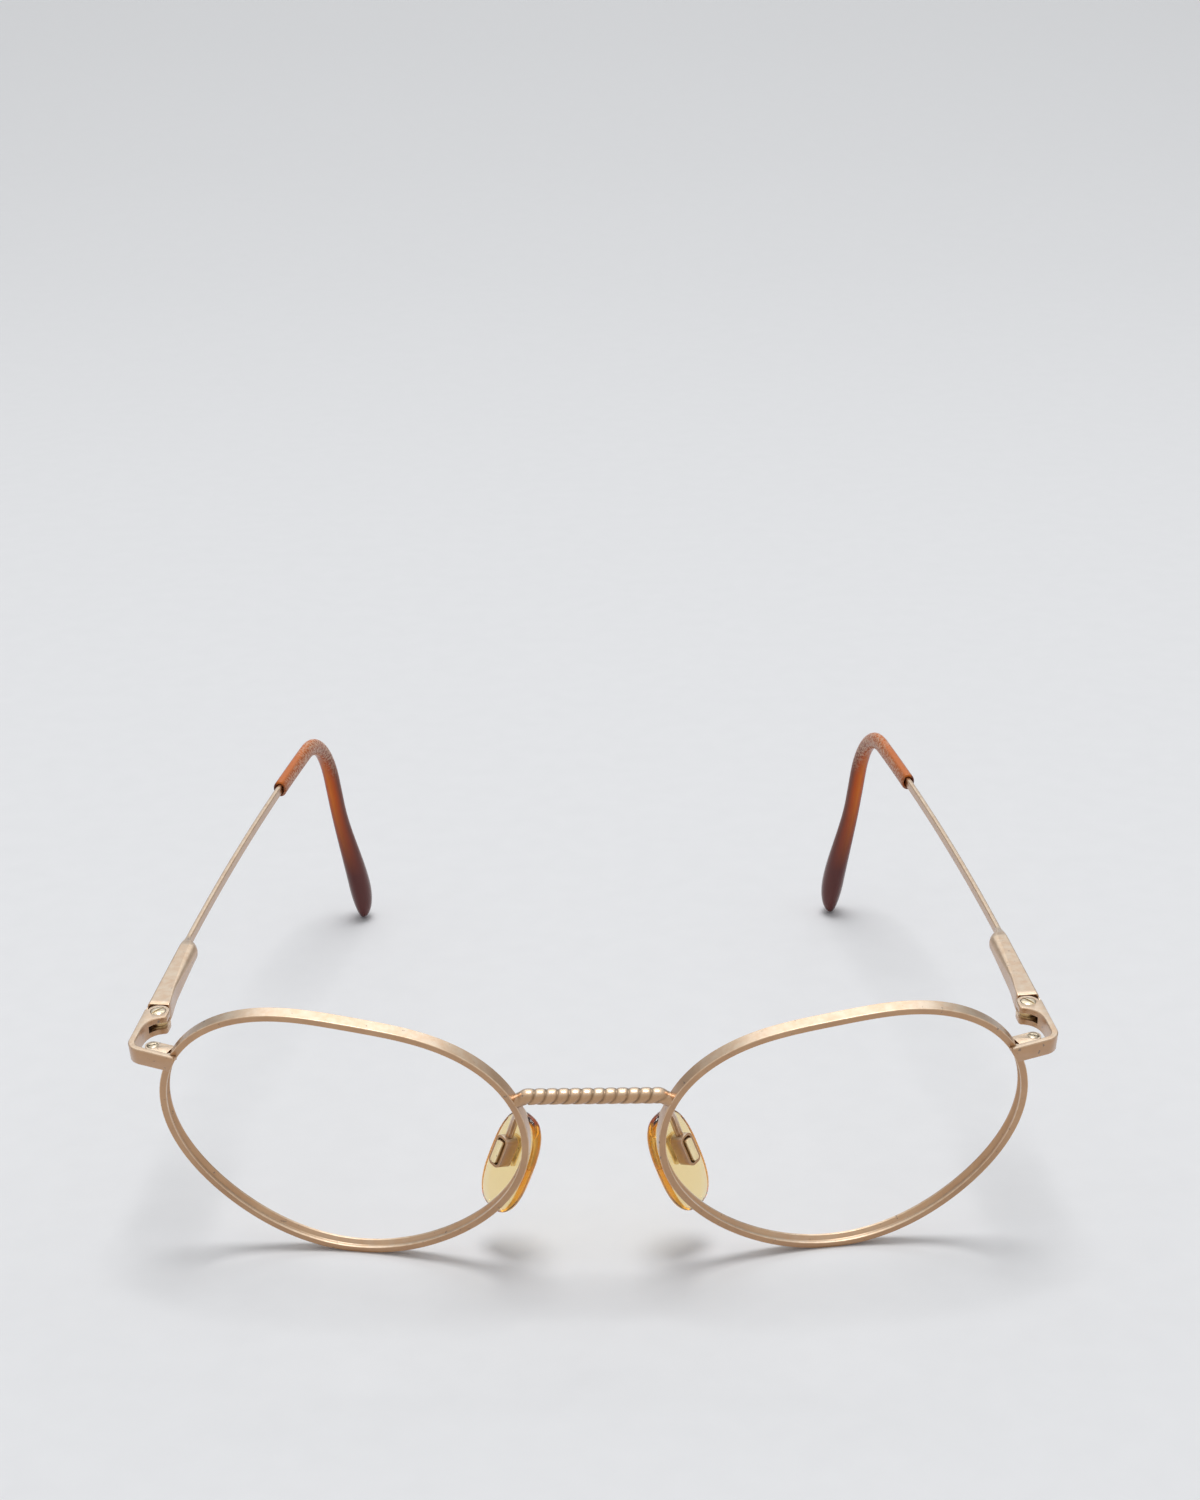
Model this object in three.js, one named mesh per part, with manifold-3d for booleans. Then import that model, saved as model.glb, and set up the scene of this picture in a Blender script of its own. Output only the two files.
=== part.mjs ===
// Metal eyeglass frame with spring hinges, standing open on its rims and temple tips.
// Millimetres. +X is the wearer's left, +Y points back to the ears, +Z is up.
// The origin is at the bottom centre of the whole frame.
import * as THREE from "three";
import { mergeVertices } from "three/addons/utils/BufferGeometryUtils.js";
import Module from "manifold-3d";

const wasm = await Module();
wasm.setup();
const degrees = THREE.MathUtils.degToRad;
const { smoothstep, lerp } = THREE.MathUtils;

// Lens openings: an oval with a flat top, measured between the inner edges of the rim
const OPENING_WIDTH = 48.6;
const OPENING_HEIGHT = 40.6;
const OPENING_OVAL = 0.094;
const OPENING_FLAT_TOP = 0.045;
const OPENING_TURN = 0.027;
const OPENING_SKEW = -0.014;
const OPENING_SPACING = 19;
const WRAP_ANGLE = degrees(8.3);
const PANTOSCOPIC_ANGLE = degrees(10.5);

// Rim wire, with the groove that takes the edge of a lens
const RIM_THICKNESS = 1.0;
const RIM_DEPTH = 1.8;
const RIM_EDGE = 0.18;
const GROOVE_WIDTH = 1.2;
const GROOVE_DEPTH = 0.5;
const RIM_END_GAP = 0.16;
const RIM_STEPS = 74;

// Clearances
const SEAT_GAP = 0.05;
const RUNNING_GAP = 0.05;
const FOLD_GAP = 0.12;

// Twisted bridge
const BRIDGE_DIAMETER = 2.2;
const BRIDGE_END_DIAMETER = 1.9;
const BRIDGE_STRANDS = 3;
const BRIDGE_PITCH = 1.55;
const BRIDGE_RELIEF = 0.16;
const BRIDGE_RISE = 0.8;
const BRIDGE_SHOULDER = 1.9;
const BRIDGE_ANGLE = degrees(160.7);
const BRIDGE_STEPS = 64;
const BRIDGE_POINTS = 14;

// Endpiece: a strip bent round the corner, with the two hinge lugs at its end
const ENDPIECE_ANGLE = degrees(24.3);
const ENDPIECE_REACH = 5.85;
const ENDPIECE_LENGTH = 11.4;
const WALL_SWEEP = degrees(18);
const WALL_LAP = 1.4;
const LAP_MARGIN = 0.15;
const STRIP_PROUD = 0.4;
const STRIP_THICKNESS = 0.95;
const STRIP_BEVEL = 0.12;
const CORNER_RADIUS = 2.6;
const CONVERGENCE = degrees(6);

// Hinge: distances are from the hinge axis
const HINGE_HEIGHT = 2.7;
const OUTER_FACE = 1.95;
const SEAM = 0.3;
const LUG_RADIUS = 1.6;
const LUG_FRONT = 1.75;
const LUG_ROUND = 0.6;
const HOOK_REACH = 5.3;
const HOOK_BELLY = 0.65;
const SLOT_HEIGHT = 1.0;
const SLOT_FRONT = 3.1;
const SLOT_WALL = 0.65;
const KNUCKLE_RADIUS = 1.2;
const HINGE_SHANK_RADIUS = 0.6;
const HINGE_HEAD_RADIUS = 1.05;
const HINGE_HEAD_RECESS = 0.3;
const HINGE_HEAD_DOME = 0.18;
const HINGE_SLOT_ANGLE = degrees(34);

// Closing block that draws the two ends of the rim together
const BLOCK_HEIGHT = 2.4;
const BLOCK_START = 0.25;
const BLOCK_DEPTH = 2.05;
const CLOSING_SHANK_RADIUS = 0.45;
const CLOSING_HEAD_RADIUS = 0.75;
const CLOSING_HEAD_RECESS = 0.28;
const CLOSING_HEAD_DOME = 0.12;
const CLOSING_SLOT_ANGLE = degrees(63);
const CLOSING_AT = 3.1;

// Screw heads, as shares of the head's radius and height
const HEAD_EDGE = 0.62;
const HEAD_SHOULDER = 0.9;
const HEAD_CROWN = 0.72;
const SLOT_WIDTH_SHARE = 0.12;
const SLOT_FLOOR = 0.45;

// Spring box at the front of the temple
const BOX_WIDTH = 3.0;
const BOX_REAR_WIDTH = 2.6;
const BOX_FLARE = 6;
const BOX_LENGTH = 19.7;
const BOX_STEP_LEAD = 1;
const BOX_RUNOUT = 3;
const BOX_BEVEL = 1.05;
const EDGE_BEVEL = 0.28;
const LIP_DROP = 0.3;
const GUIDE_WIDTH = 1.6;
const GUIDE_HEIGHT = 1.4;
const GUIDE_LENGTH = 3.4;
const STOP_LENGTH = 0.6;
const SPRING_LENGTH = 4.8;
const SPRING_WIRE = 0.22;
const SPRING_TURNS = 6;
const SPRING_TURN_STEPS = 7;
const STEM_RADIUS = 0.32;
const STEM_HEAD_RADIUS = 0.6;
const STEM_HEAD_LENGTH = 0.6;

// Temple bar, its core inside the tip, and the tip
const BAR_THICKNESS = 0.8;
const BAR_HEIGHT = 1.55;
const CORE_HEIGHT = 1.4;
const TEMPLE_LENGTH = 134.3;
const BEND_AT = 89.2;
const BEND_RADIUS = 11.5;
const BEND_ANGLE = degrees(85);
const TIP_AT = 74.4;
const TEMPLE_BOW = 8.2;
const TIP_TWIST = degrees(14);
const TIP_MOUTH_WIDTH = 2.15;
const TIP_MOUTH_HEIGHT = 2.75;
const TIP_END_WIDTH = 3.8;
const TIP_END_HEIGHT = 5.4;
const TIP_SLIM = 5;
const TIP_NOSE = 6.5;
const TIP_BULGE = 0.5;
const TIP_BLUNTNESS = 0.985;
const CORE_TAPER = 6;
const CORE_END = 16;

// Nose pads, each with a metal lug held in a small box at the end of its arm
const PAD_LENGTH = 15;
const PAD_WIDTH = 8.0;
const PAD_THICKNESS = 2.0;
const PAD_SPREAD = 11.4;
const PAD_BACK = 6.4;
const PAD_DROP = 8.65;
const PAD_SPLAY = degrees(38);
const PAD_FLARE = degrees(27);
const PAD_SQUARENESS = 2.35;
const LUG_WIDTH = 1.1;
const LUG_LENGTH = 3.3;
const LUG_FOOT = 0.6;
const LUG_FOOT_MARGIN = 0.5;
const LUG_PROUD = 0.35;
const LUG_UP = 1.9;
const LUG_ROUNDNESS = 0.3;
const PAD_BOX_WALL = 0.35;
const PAD_BOX_LENGTH = 2.1;
const PAD_BOX_ROUNDNESS = 0.35;
const PAD_ROCK_GAP = 0.45;
const PAD_ROCK_PLAY = 0.28;
const ARM_DIAMETER = 1.15;
const ARM_ANGLE = degrees(169);
const ARM_ROOT_REACH = 3.2;
const ARM_ROOT_SPREAD = 0.7;
const ARM_BOX_REACH = 2.6;
const ARM_STEPS = 20;

// Finishes
const gold = { color: 0xb98f66, roughness: 0.38, metalness: 1 };
const polishedGold = { color: 0xd0ad7c, roughness: 0.22, metalness: 1 };
const steel = { color: 0xb9b4aa, roughness: 0.3, metalness: 1 };
const amber = { color: 0x9a4a22, roughness: 0.25, metalness: 0 };
const clearAmber = { color: 0xd99a2b, roughness: 0.2, metalness: 0 };

// Solids and meshes

function toSolid(geometry) {
  const bare = geometry.index ? geometry.toNonIndexed() : geometry.clone();
  bare.deleteAttribute("normal");
  bare.deleteAttribute("uv");
  const merged = mergeVertices(bare, 1e-4);
  const vertProperties = merged.attributes.position.array;
  const triVerts = new Uint32Array(merged.index.array);
  return new wasm.Manifold(new wasm.Mesh({ numProp: 3, vertProperties, triVerts }));
}

function toGeometry(solid) {
  const { vertProperties, triVerts } = solid.getMesh();
  const geometry = new THREE.BufferGeometry();
  geometry.setAttribute("position", new THREE.BufferAttribute(vertProperties, 3));
  geometry.setIndex(new THREE.BufferAttribute(triVerts, 1));
  return geometry;
}

function join(...geometries) {
  return toGeometry(geometries.map(toSolid).reduce((whole, piece) => whole.add(piece)));
}

function cut(geometry, ...tools) {
  return toGeometry(tools.map(toSolid).reduce((rest, tool) => rest.subtract(tool), toSolid(geometry)));
}

function mesh(name, geometry, finish) {
  const material = new THREE.MeshStandardMaterial({ ...finish, flatShading: true });
  const piece = new THREE.Mesh(geometry, material);
  piece.name = name;
  return piece;
}

// A box between two opposite corners
function block(low, high) {
  const size = new THREE.Vector3().subVectors(high, low);
  const middle = new THREE.Vector3().addVectors(low, high).multiplyScalar(0.5);
  return new THREE.BoxGeometry(size.x, size.y, size.z).translate(middle.x, middle.y, middle.z);
}

const at = (x, y, z) => new THREE.Vector3(x, y, z);

// A round bar along Z
function pin(radius, bottom, top, sides = 20) {
  return new THREE.CylinderGeometry(radius, radius, top - bottom, sides)
    .rotateX(Math.PI / 2)
    .translate(0, 0, (bottom + top) / 2);
}

// A round bar along Y
function rod(radius, front, rear, sides = 16) {
  return new THREE.CylinderGeometry(radius, radius, rear - front, sides).translate(0, (front + rear) / 2, 0);
}

// A skin over cross-sections: each station has a section and the frame that places it, Z forward
function loft(stations) {
  const count = stations[0].section.length;
  const positions = [];
  const index = [];
  for (const { section, frame } of stations) {
    for (const point of section) {
      positions.push(...at(point.x, point.y, 0).applyMatrix4(frame).toArray());
    }
  }
  for (let row = 0; row < stations.length - 1; row++) {
    for (let column = 0; column < count; column++) {
      const a = row * count + column;
      const b = row * count + ((column + 1) % count);
      index.push(a, b, b + count, a, b + count, a + count);
    }
  }
  const last = (stations.length - 1) * count;
  for (const [a, b, c] of THREE.ShapeUtils.triangulateShape(stations[0].section, [])) {
    index.push(a, c, b);
  }
  for (const [a, b, c] of THREE.ShapeUtils.triangulateShape(stations.at(-1).section, [])) {
    index.push(last + a, last + b, last + c);
  }
  const geometry = new THREE.BufferGeometry();
  geometry.setAttribute("position", new THREE.Float32BufferAttribute(positions, 3));
  return geometry.setIndex(index);
}

function oval(width, height, points) {
  return Array.from({ length: points }, (_, i) => {
    const angle = (2 * Math.PI * i) / points;
    return new THREE.Vector2((width / 2) * Math.cos(angle), (height / 2) * Math.sin(angle));
  });
}

function roundedRectangle(width, height, radius) {
  const shape = new THREE.Shape();
  const x = width / 2 - radius;
  const y = height / 2 - radius;
  shape.absarc(x, y, radius, 0, Math.PI / 2);
  shape.absarc(-x, y, radius, Math.PI / 2, Math.PI);
  shape.absarc(-x, -y, radius, Math.PI, 1.5 * Math.PI);
  shape.absarc(x, -y, radius, 1.5 * Math.PI, 2 * Math.PI);
  return shape;
}

// A slotted screw along Z: the head's underside is at seat and the shank ends at bottom
function screw(shankRadius, headRadius, bottom, seat, top) {
  const profile = [
    new THREE.Vector2(0, bottom),
    new THREE.Vector2(shankRadius, bottom),
    new THREE.Vector2(shankRadius, seat),
    new THREE.Vector2(headRadius, seat),
    new THREE.Vector2(headRadius, lerp(seat, top, HEAD_EDGE)),
    new THREE.Vector2(headRadius * HEAD_CROWN, lerp(seat, top, HEAD_SHOULDER)),
    new THREE.Vector2(0, top),
  ];
  const body = new THREE.LatheGeometry(profile, 20).rotateX(Math.PI / 2);
  const half = headRadius * SLOT_WIDTH_SHARE;
  const floor = lerp(seat, top, SLOT_FLOOR);
  return cut(body, block(at(-half, -2 * headRadius, floor), at(half, 2 * headRadius, top + headRadius)));
}

// Rim

function rawOutline(angle) {
  const radius =
    1 +
    OPENING_OVAL * Math.cos(2 * angle) +
    OPENING_TURN * Math.sin(2 * angle) +
    OPENING_SKEW * Math.cos(3 * angle) +
    OPENING_FLAT_TOP * Math.sin(3 * angle);
  return new THREE.Vector2(radius * Math.cos(angle), radius * Math.sin(angle));
}

const rawPoints = Array.from({ length: 720 }, (_, i) => rawOutline(degrees(i / 2)));
const rawBox = new THREE.Box2().setFromPoints(rawPoints);
const rawSize = rawBox.getSize(new THREE.Vector2());
const outlineScale = new THREE.Vector2(OPENING_WIDTH / rawSize.x, OPENING_HEIGHT / rawSize.y);

// A point on the edge of the opening: X to the temple, Y up
function openingPoint(angle) {
  return rawOutline(angle).multiply(outlineScale);
}

// The direction out of the opening, square to its edge
function openingNormal(angle) {
  const step = degrees(0.5);
  const along = openingPoint(angle + step).sub(openingPoint(angle - step)).normalize();
  return new THREE.Vector2(along.y, -along.x);
}

// A point of the rim, by its angle, its distance out from the opening and its distance back
function rimPoint(angle, out, back) {
  const edge = openingPoint(angle).addScaledVector(openingNormal(angle), out);
  return at(edge.x, back, edge.y);
}

function rimSection() {
  const half = RIM_DEPTH / 2;
  const mouth = GROOVE_WIDTH / 2;
  return [
    new THREE.Vector2(0, -half),
    new THREE.Vector2(RIM_THICKNESS - RIM_EDGE, -half),
    new THREE.Vector2(RIM_THICKNESS, RIM_EDGE - half),
    new THREE.Vector2(RIM_THICKNESS, half - RIM_EDGE),
    new THREE.Vector2(RIM_THICKNESS - RIM_EDGE, half),
    new THREE.Vector2(0, half),
    new THREE.Vector2(0, mouth),
    new THREE.Vector2(GROOVE_DEPTH, 0),
    new THREE.Vector2(0, -mouth),
  ];
}

function rimFrame(angle) {
  const normal = openingNormal(angle);
  const out = at(normal.x, 0, normal.y);
  const back = at(0, 1, 0);
  const along = new THREE.Vector3().crossVectors(out, back);
  return new THREE.Matrix4().makeBasis(out, back, along).setPosition(rimPoint(angle, 0, 0));
}

// The wire runs once round the opening and stops short of itself at the endpiece
function rim() {
  const endAngle = RIM_END_GAP / 2 / openingPoint(ENDPIECE_ANGLE).length();
  const section = rimSection();
  const stations = Array.from({ length: RIM_STEPS + 1 }, (_, i) => {
    const share = i / RIM_STEPS;
    const angle = ENDPIECE_ANGLE + lerp(endAngle, 2 * Math.PI - endAngle, share);
    return { section, frame: rimFrame(angle) };
  });
  return loft(stations);
}

const rimRear = RIM_DEPTH / 2 + SEAT_GAP;

// All the space inside a line round the rim, to shape the ends of what is brazed to the rim
function rimSpace(lens, mirror, out = RIM_THICKNESS + SEAT_GAP, depth = rimRear + 2 * RIM_DEPTH) {
  const points = Array.from({ length: RIM_STEPS }, (_, i) => {
    const angle = (2 * Math.PI * i) / RIM_STEPS + ENDPIECE_ANGLE;
    const point = rimPoint(angle, out, 0);
    return new THREE.Vector2(mirror * point.x, point.z);
  });
  return new THREE.ExtrudeGeometry(new THREE.Shape(points), { depth, bevelEnabled: false })
    .rotateX(Math.PI / 2)
    .translate(0, rimRear, 0)
    .rotateZ(mirror * WRAP_ANGLE)
    .translate(mirror * lens.position.x, 0, 0);
}

// Frames of one side, the wearer's left, as groups in the upright front

function lensGroup() {
  const group = new THREE.Group();
  const nasalReach = -rawBox.min.x * outlineScale.x * Math.cos(WRAP_ANGLE);
  group.position.x = OPENING_SPACING / 2 + nasalReach;
  group.rotation.z = WRAP_ANGLE;
  group.updateMatrix();
  return group;
}

const WALL_CORNER = new THREE.Vector2(OUTER_FACE - ENDPIECE_REACH, -ENDPIECE_LENGTH);

// The hinge frame: Z is the hinge axis and Y runs back along the open temple
function hingeGroup(lens) {
  const group = new THREE.Group();
  group.rotation.set(-PANTOSCOPIC_ANGLE, 0, CONVERGENCE);
  const face = -RIM_DEPTH / 2 - STRIP_PROUD;
  const root = rimPoint(ENDPIECE_ANGLE, RIM_THICKNESS, face).applyMatrix4(lens.matrix);
  const wall = at(WALL_CORNER.x, WALL_CORNER.y, 0).applyEuler(group.rotation);
  group.position.subVectors(root, wall);
  group.updateMatrix();
  return group;
}

// The pad frame: Z runs up the pad and X points away from the nose
function padGroup(lens) {
  const group = new THREE.Group();
  const nasalEdge = rimPoint(Math.PI, 0, 0).applyMatrix4(lens.matrix);
  group.position.set(PAD_SPREAD, nasalEdge.y + PAD_BACK, -PAD_DROP);
  group.rotation.set(0, -PAD_FLARE, -PAD_SPLAY, "ZYX");
  group.updateMatrix();
  return group;
}

// Endpiece and closing block

// Leans upright walls forward so that they stand in line with the rim
function lean(geometry, share) {
  const position = geometry.attributes.position;
  for (let i = 0; i < position.count; i++) {
    const angle = PANTOSCOPIC_ANGLE * share(position.getY(i));
    const height = position.getZ(i);
    position.setY(i, position.getY(i) - height * Math.sin(angle));
    position.setZ(i, height * Math.cos(angle));
  }
  return geometry;
}

const wallAlong = new THREE.Vector2(Math.cos(WALL_SWEEP), Math.sin(WALL_SWEEP));
const wallBack = new THREE.Vector2(-wallAlong.y, wallAlong.x);

// A point in the plan of the endpiece, along its front wall from the rim and back from its face
function wallPoint(along, back) {
  return WALL_CORNER.clone().addScaledVector(wallAlong, along).addScaledVector(wallBack, back);
}

function endpiecePlan() {
  const start = wallPoint(-WALL_LAP, 0);
  const lap = wallPoint(-WALL_LAP, 2 * STRIP_THICKNESS);
  const end = wallPoint(0, STRIP_THICKNESS);
  const innerFace = OUTER_FACE - STRIP_THICKNESS;
  const cornerX = OUTER_FACE - CORNER_RADIUS;
  const rise = (CORNER_RADIUS + (cornerX - WALL_CORNER.x) * wallAlong.y) / wallAlong.x;
  const cornerY = WALL_CORNER.y + rise;
  const wallAngle = WALL_SWEEP - Math.PI / 2;
  const plan = new THREE.Shape();
  plan.absarc(cornerX, cornerY, CORNER_RADIUS, wallAngle, 0, false);
  plan.lineTo(OUTER_FACE, SEAM);
  plan.absarc(0, 0, LUG_RADIUS, Math.asin(SEAM / LUG_RADIUS), Math.PI, false);
  plan.lineTo(-LUG_RADIUS, LUG_ROUND - LUG_FRONT);
  plan.quadraticCurveTo(-LUG_RADIUS, -LUG_FRONT, LUG_ROUND - LUG_RADIUS, -LUG_FRONT);
  plan.quadraticCurveTo(innerFace, -LUG_FRONT - HOOK_BELLY, innerFace, -HOOK_REACH);
  plan.absarc(cornerX, cornerY, CORNER_RADIUS - STRIP_THICKNESS, 0, wallAngle, true);
  plan.lineTo(end.x, end.y);
  plan.lineTo(lap.x, lap.y);
  plan.lineTo(start.x, start.y);
  return plan;
}

function bevelled(plan, height, bevel, curveSegments) {
  return new THREE.ExtrudeGeometry(plan, {
    depth: height - 2 * bevel,
    bevelThickness: bevel,
    bevelSize: bevel,
    bevelOffset: -bevel,
    bevelSegments: 1,
    curveSegments,
  }).translate(0, 0, bevel - height / 2);
}

function endpiece(rimCuts) {
  const top = HINGE_HEIGHT / 2;
  const leanEnd = ENDPIECE_LENGTH - CORNER_RADIUS;
  const strip = lean(bevelled(endpiecePlan(), HINGE_HEIGHT, STRIP_BEVEL, 6), (y) =>
    smoothstep(-y, HOOK_REACH, leanEnd),
  );
  const slot = block(
    at(-2 * LUG_RADIUS, -SLOT_FRONT, -SLOT_HEIGHT / 2),
    at(OUTER_FACE - SLOT_WALL, 2 * LUG_RADIUS, SLOT_HEIGHT / 2),
  );
  const bore = pin(HINGE_SHANK_RADIUS + RUNNING_GAP, -HINGE_HEIGHT, HINGE_HEIGHT);
  const recess = pin(HINGE_HEAD_RADIUS + RUNNING_GAP, top - HINGE_HEAD_RECESS, HINGE_HEIGHT);
  return cut(strip, ...rimCuts, slot, bore, recess);
}

function hingeScrew() {
  const top = HINGE_HEIGHT / 2;
  const seat = top - HINGE_HEAD_RECESS + SEAT_GAP / 2;
  const plain = screw(HINGE_SHANK_RADIUS, HINGE_HEAD_RADIUS, -top, seat, top + HINGE_HEAD_DOME);
  return plain.rotateZ(HINGE_SLOT_ANGLE);
}

const closingAxis = wallPoint(CLOSING_AT, STRIP_THICKNESS + SEAT_GAP + BLOCK_DEPTH / 2);

// A tongue along the front wall, with a round end about its screw
function closingPlan() {
  const front = STRIP_THICKNESS + SEAT_GAP;
  const start = wallPoint(BLOCK_START, front);
  const rear = wallPoint(BLOCK_START, front + BLOCK_DEPTH);
  const quarter = Math.PI / 2;
  const plan = new THREE.Shape();
  plan.absarc(closingAxis.x, closingAxis.y, BLOCK_DEPTH / 2, WALL_SWEEP - quarter, WALL_SWEEP + quarter);
  plan.lineTo(rear.x, rear.y);
  plan.lineTo(start.x, start.y);
  return plan;
}

// Tools and screws of the closing block stand on its own leaning axis
function onClosingAxis(geometry) {
  return geometry.rotateX(PANTOSCOPIC_ANGLE).translate(closingAxis.x, closingAxis.y, 0);
}

function closingHalf(rimCut, upper) {
  const height = (BLOCK_HEIGHT - RIM_END_GAP) / 2;
  const middle = (upper ? 1 : -1) * (height / 2 + RIM_END_GAP / 2);
  const depth = { depth: height, bevelEnabled: false, curveSegments: 6 };
  const plain = new THREE.ExtrudeGeometry(closingPlan(), depth).translate(0, 0, middle - height / 2);
  const half = lean(plain, () => 1);
  const bore = onClosingAxis(pin(CLOSING_SHANK_RADIUS + RUNNING_GAP, -BLOCK_HEIGHT, BLOCK_HEIGHT));
  const recessFloor = BLOCK_HEIGHT / 2 - CLOSING_HEAD_RECESS;
  const recess = onClosingAxis(pin(CLOSING_HEAD_RADIUS + RUNNING_GAP, recessFloor, BLOCK_HEIGHT));
  return upper ? cut(half, rimCut, bore, recess) : cut(half, rimCut, bore);
}

function closingScrew() {
  const top = BLOCK_HEIGHT / 2;
  const seat = top - CLOSING_HEAD_RECESS + SEAT_GAP;
  const plain = screw(CLOSING_SHANK_RADIUS, CLOSING_HEAD_RADIUS, -top, seat, top + CLOSING_HEAD_DOME);
  return onClosingAxis(plain.rotateZ(CLOSING_SLOT_ANGLE));
}

// Spring hinge: the carriage turns on the hinge screw and slides in the temple

const boxFront = LUG_RADIUS + FOLD_GAP;
const channelX = OUTER_FACE - BOX_WIDTH / 2;
const guideFront = boxFront + FOLD_GAP;
const stopFront = guideFront + GUIDE_LENGTH + RUNNING_GAP;
const springFront = stopFront + STOP_LENGTH + RUNNING_GAP;
const headFront = springFront + SPRING_LENGTH + RUNNING_GAP;
const headRear = headFront + STEM_HEAD_LENGTH;
const springRadius = STEM_HEAD_RADIUS - SPRING_WIRE / 2;

function hingeCarriage() {
  const halfKnuckle = SLOT_HEIGHT / 2 - RUNNING_GAP;
  const left = channelX - GUIDE_WIDTH / 2;
  const right = channelX + GUIDE_WIDTH / 2;
  const knuckle = pin(KNUCKLE_RADIUS, -halfKnuckle, halfKnuckle);
  const neckRight = Math.min(right, OUTER_FACE - SLOT_WALL - FOLD_GAP);
  const neck = block(at(left, 0, -halfKnuckle), at(neckRight, guideFront + GUIDE_LENGTH / 2, halfKnuckle));
  const guide = block(
    at(left, guideFront, -GUIDE_HEIGHT / 2),
    at(right, guideFront + GUIDE_LENGTH, GUIDE_HEIGHT / 2),
  );
  const stem = rod(STEM_RADIUS, guideFront + GUIDE_LENGTH / 2, headRear, 12).translate(channelX, 0, 0);
  const head = rod(STEM_HEAD_RADIUS, headFront, headRear, 12).translate(channelX, 0, 0);
  const bore = pin(HINGE_SHANK_RADIUS + RUNNING_GAP, -HINGE_HEIGHT, HINGE_HEIGHT);
  return cut(join(knuckle, neck, guide, stem, head), bore);
}

function springStop() {
  const plate = block(
    at(channelX - GUIDE_WIDTH / 2, stopFront, -GUIDE_HEIGHT / 2),
    at(channelX + GUIDE_WIDTH / 2, stopFront + STOP_LENGTH, GUIDE_HEIGHT / 2),
  );
  const hole = rod(STEM_RADIUS + RUNNING_GAP, stopFront - STOP_LENGTH, stopFront + 2 * STOP_LENGTH, 12);
  return cut(plate, hole.translate(channelX, 0, 0));
}

function hingeSpring() {
  const section = oval(SPRING_WIRE, SPRING_WIRE, 5);
  const count = SPRING_TURNS * SPRING_TURN_STEPS;
  const travel = SPRING_LENGTH - SPRING_WIRE;
  const stations = Array.from({ length: count + 1 }, (_, i) => {
    const angle = (2 * Math.PI * SPRING_TURNS * i) / count;
    const out = at(Math.cos(angle), 0, -Math.sin(angle));
    const around = at(-Math.sin(angle) * springRadius, 0, -Math.cos(angle) * springRadius);
    const along = around.setY(travel / (2 * Math.PI * SPRING_TURNS)).normalize();
    const up = new THREE.Vector3().crossVectors(along, out);
    const centre = at(channelX, springFront + SPRING_WIRE / 2 + (travel * i) / count, 0);
    centre.addScaledVector(out, springRadius);
    return { section, frame: new THREE.Matrix4().makeBasis(out, up, along).setPosition(centre) };
  });
  return loft(stations);
}

// Temple: its wire runs back with a gentle inward bow, then bends down behind the ear

const stepFront = BOX_LENGTH - BOX_STEP_LEAD;
const stepRear = BOX_LENGTH + BOX_RUNOUT;
const dropAt = BEND_AT + BEND_RADIUS * BEND_ANGLE;
const noseAt = TEMPLE_LENGTH - TIP_NOSE;

// The frame of the wire at a distance from the hinge: X inwards, Y up, Z along the wire
function templeFrame(distance) {
  const turn = (THREE.MathUtils.clamp(distance, BEND_AT, dropAt) - BEND_AT) / BEND_RADIUS;
  const straight = Math.min(distance, BEND_AT);
  const drop = Math.max(distance - dropAt, 0);
  const along = at(0, Math.cos(turn), -Math.sin(turn));
  const up = at(0, Math.sin(turn), Math.cos(turn));
  const share = Math.max(distance - BOX_LENGTH, 0) / (TEMPLE_LENGTH - BOX_LENGTH);
  const centre = at(-TEMPLE_BOW * share ** 2, straight, 0);
  centre.y += BEND_RADIUS * Math.sin(turn);
  centre.z -= BEND_RADIUS * (1 - Math.cos(turn));
  centre.addScaledVector(along, drop);
  const frame = new THREE.Matrix4().makeBasis(at(-1, 0, 0), up, along).setPosition(centre);
  return frame.multiply(new THREE.Matrix4().makeRotationZ(TIP_TWIST * share ** 4));
}

// A cross-section from the outer face inwards, with its own bevels on the inner and outer edges
function barSection(outer, inner, height, outerBevel, innerBevel) {
  const half = height / 2;
  return [
    new THREE.Vector2(outer + outerBevel, -half),
    new THREE.Vector2(inner - innerBevel, -half),
    new THREE.Vector2(inner, innerBevel - half),
    new THREE.Vector2(inner, half - innerBevel),
    new THREE.Vector2(inner - innerBevel, half),
    new THREE.Vector2(outer + outerBevel, half),
    new THREE.Vector2(outer, half - outerBevel),
    new THREE.Vector2(outer, outerBevel - half),
  ];
}

// Even steps from one distance to another, leaving out the first
function steps(from, to, count) {
  return Array.from({ length: count }, (_, i) => lerp(from, to, (i + 1) / count));
}

// The box tapers, its inner edges run out into broad bevels, and it steps down to the bar
function templeStation(distance, margin) {
  const along = smoothstep(distance, boxFront, BOX_LENGTH);
  const flare = smoothstep(distance, boxFront, boxFront + BOX_FLARE);
  const step = smoothstep(distance, stepFront, stepRear);
  const inTip = smoothstep(distance, TIP_AT, TIP_AT + CORE_TAPER);
  const width = lerp(lerp(BOX_WIDTH, BOX_REAR_WIDTH, flare), BAR_THICKNESS, step);
  const height = lerp(lerp(HINGE_HEIGHT, BAR_HEIGHT, step), CORE_HEIGHT, inTip);
  const innerBevel = lerp(lerp(EDGE_BEVEL / 2, BOX_BEVEL, along), EDGE_BEVEL, step);
  const outer = -OUTER_FACE - margin;
  const inner = width - OUTER_FACE + margin;
  const section = barSection(outer, inner, height + 2 * margin, EDGE_BEVEL, innerBevel);
  return { section, frame: templeFrame(distance) };
}

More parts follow.
